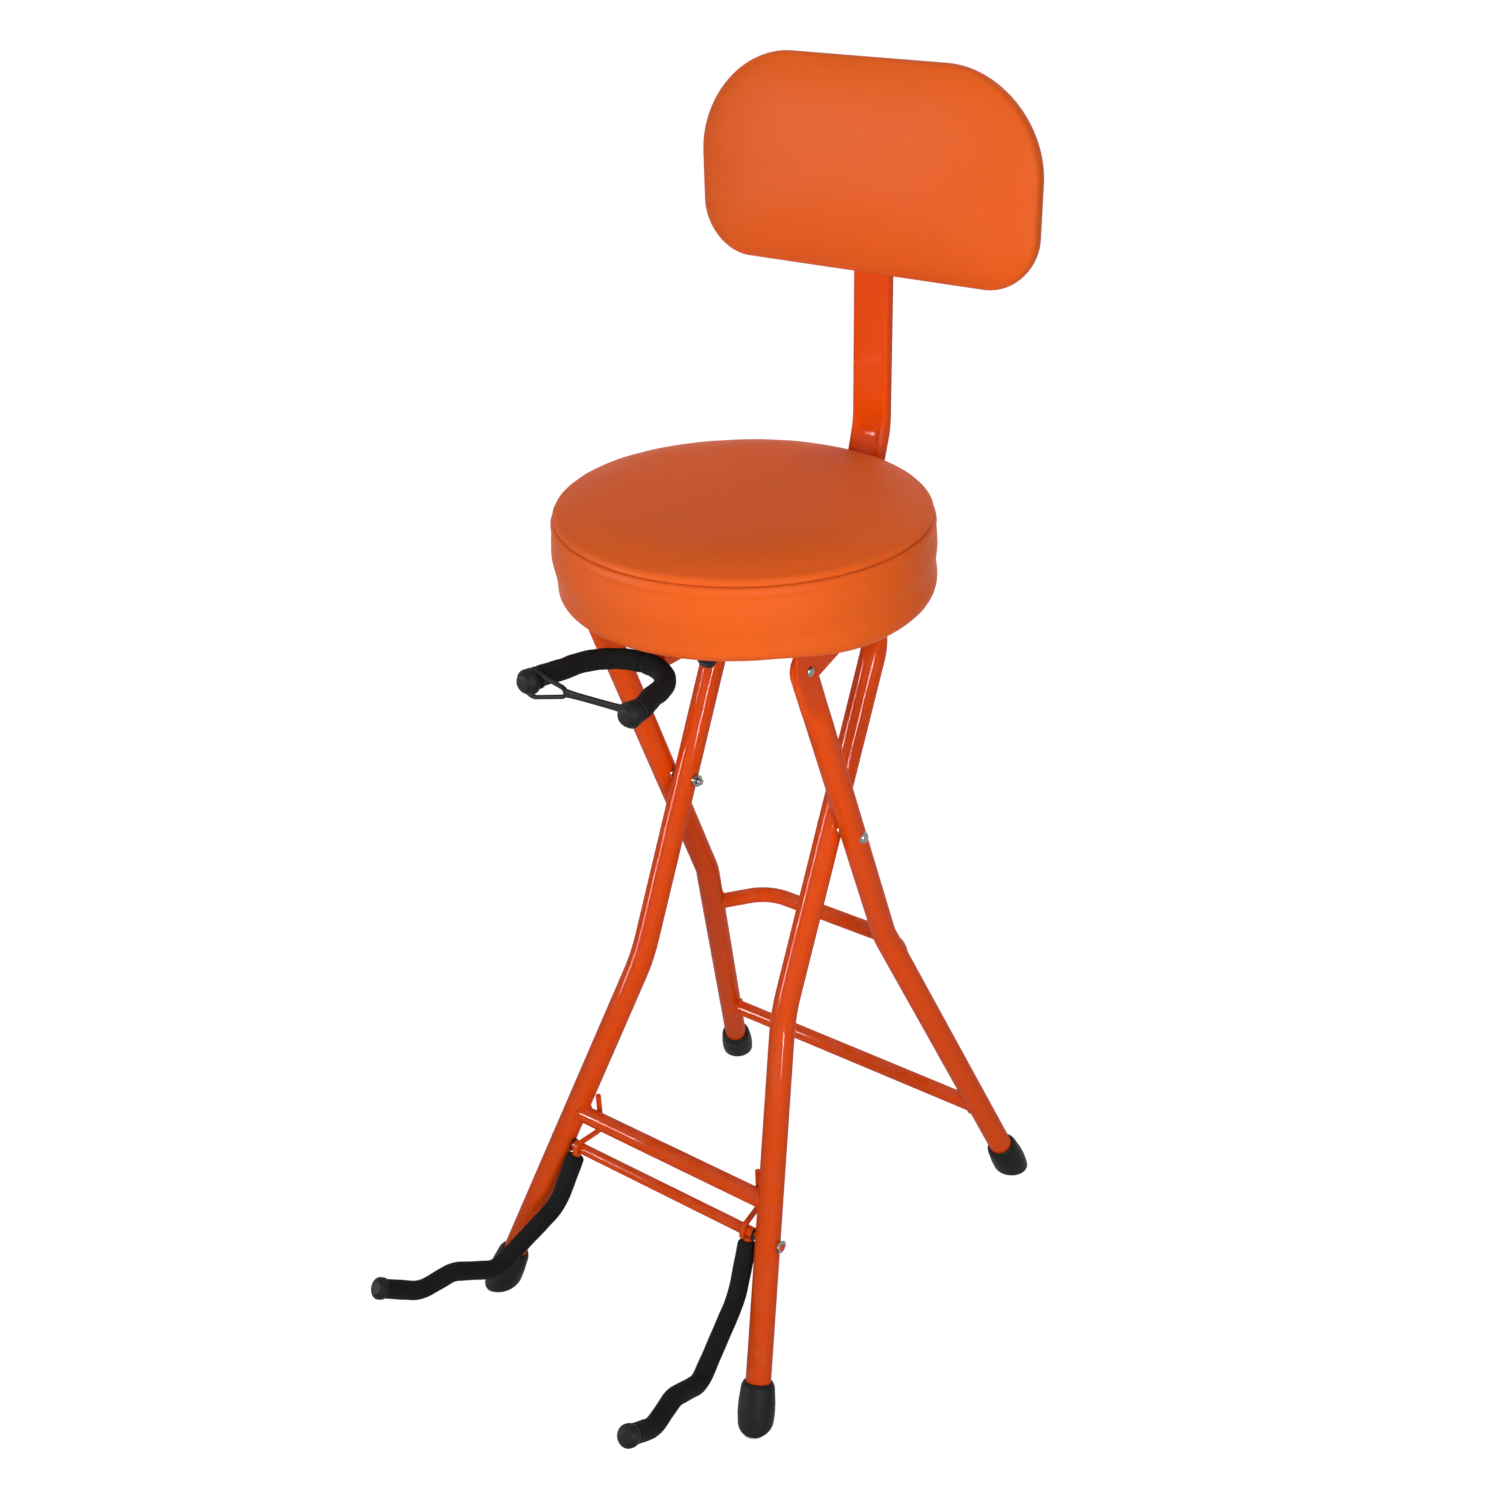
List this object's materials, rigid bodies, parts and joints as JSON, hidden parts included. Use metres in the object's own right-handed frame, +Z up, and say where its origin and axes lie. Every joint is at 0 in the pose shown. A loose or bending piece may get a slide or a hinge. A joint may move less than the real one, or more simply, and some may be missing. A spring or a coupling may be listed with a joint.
{
  "type": "guitar stool",
  "caption": "Folding guitar stool with a round padded seat, a backrest on a flat post, a footrest, a neck fork under the seat and padded guitar arms at its foot.",
  "frame": {"origin": "on the floor, below the middle of the object's box", "axes": "+Z up; the guitar arms and the neck fork point to -Y and the backrest is towards +Y; +X is on the right for a viewer who faces the guitar side"},
  "size_m": [0.3738, 0.5934, 1.049],
  "materials": {
    "orange_powder": "glossy orange powder coat",
    "orange_vinyl": "fine grained orange vinyl",
    "plywood": "bare plywood",
    "black_rubber": "matte black",
    "black_foam": "closed cell foam, dull black",
    "black_nylon": "matte black",
    "zinc": "bright zinc plate"
  },
  "bodies": {
    "front_frame": {"front_frame": "orange_powder", "footrest": "orange_powder", "backrest_post": "orange_powder", "post_plug": "black_nylon", "post_bolt_left": "zinc", "post_bolt_right": "zinc", "post_nut_left": "zinc", "post_nut_right": "zinc", "backrest_board": "plywood", "backrest_cushion": "orange_vinyl", "backrest_screw_upper": "zinc", "backrest_screw_lower": "zinc", "front_foot_left": "black_rubber", "front_foot_right": "black_rubber", "pivot_bolt_left": "zinc", "pivot_bolt_right": "zinc", "pivot_nut": "zinc", "pivot_washer_left": "zinc", "pivot_washer_right": "zinc"},
    "rear_frame": {"rear_leg_left": "orange_powder", "rear_leg_right": "orange_powder", "rear_low_bar": "orange_powder", "rear_bow_bar": "orange_powder", "rear_foot_left": "black_rubber", "rear_foot_right": "black_rubber"},
    "seat": {"seat_board": "plywood", "seat_cushion": "orange_vinyl", "seat_screw_1": "zinc", "seat_screw_2": "zinc", "seat_screw_3": "zinc", "seat_screw_4": "zinc", "seat_bracket_left": "orange_powder", "seat_bracket_right": "orange_powder", "seat_rivet_left": "zinc", "seat_rivet_right": "zinc", "seat_saddle_left": "black_nylon", "seat_saddle_right": "black_nylon", "fork_socket": "orange_powder"},
    "neck_fork": {"fork_rod": "orange_powder", "fork_foam_left": "black_foam", "fork_foam_right": "black_foam", "fork_cap_left": "black_rubber", "fork_cap_right": "black_rubber", "fork_strap": "black_rubber"},
    "clamp_knob": {"clamp_knob": "black_nylon"},
    "guitar_support": {"support_axle": "orange_powder", "axle_nut": "zinc", "axle_washer_left": "black_nylon", "axle_washer_right": "black_nylon", "arm_rod_left": "orange_powder", "arm_rod_right": "orange_powder", "arm_foam_left": "black_foam", "arm_foam_right": "black_foam", "arm_tip_left": "black_rubber", "arm_tip_right": "black_rubber", "stop_wire_left": "orange_powder", "stop_wire_right": "orange_powder"}
  },
  "joints": [
    {"name": "frame_fold", "type": "hinge", "parent": "front_frame", "child": "rear_frame", "pos_m": [0, 0.09076, 0.4606], "axis": [-1, 0, 0], "range_deg": [0, 44]},
    {"name": "seat_tilt", "type": "hinge", "parent": "rear_frame", "child": "seat", "pos_m": [0, 0.02049, 0.6465], "axis": [1, 0, 0], "range_deg": [0, 110]},
    {"name": "arms_fold", "type": "hinge", "parent": "front_frame", "child": "guitar_support", "pos_m": [0, -0.07246, 0.14], "axis": [-1, 0, 0], "range_deg": [0, 100]},
    {"name": "fork_slide", "type": "slide", "parent": "seat", "child": "neck_fork", "axis": [0, -0.999, 0.0436], "range_m": [0, 0.018]},
    {"name": "knob_turn", "type": "hinge", "parent": "seat", "child": "clamp_knob", "pos_m": [0, -0.00927, 0.65053], "axis": [1, 0, 0], "range_deg": [-180, 0]}
  ],
  "couplings": [
    {"joint": "seat_tilt", "follows": "frame_fold", "ratio": 2.5}
  ]
}
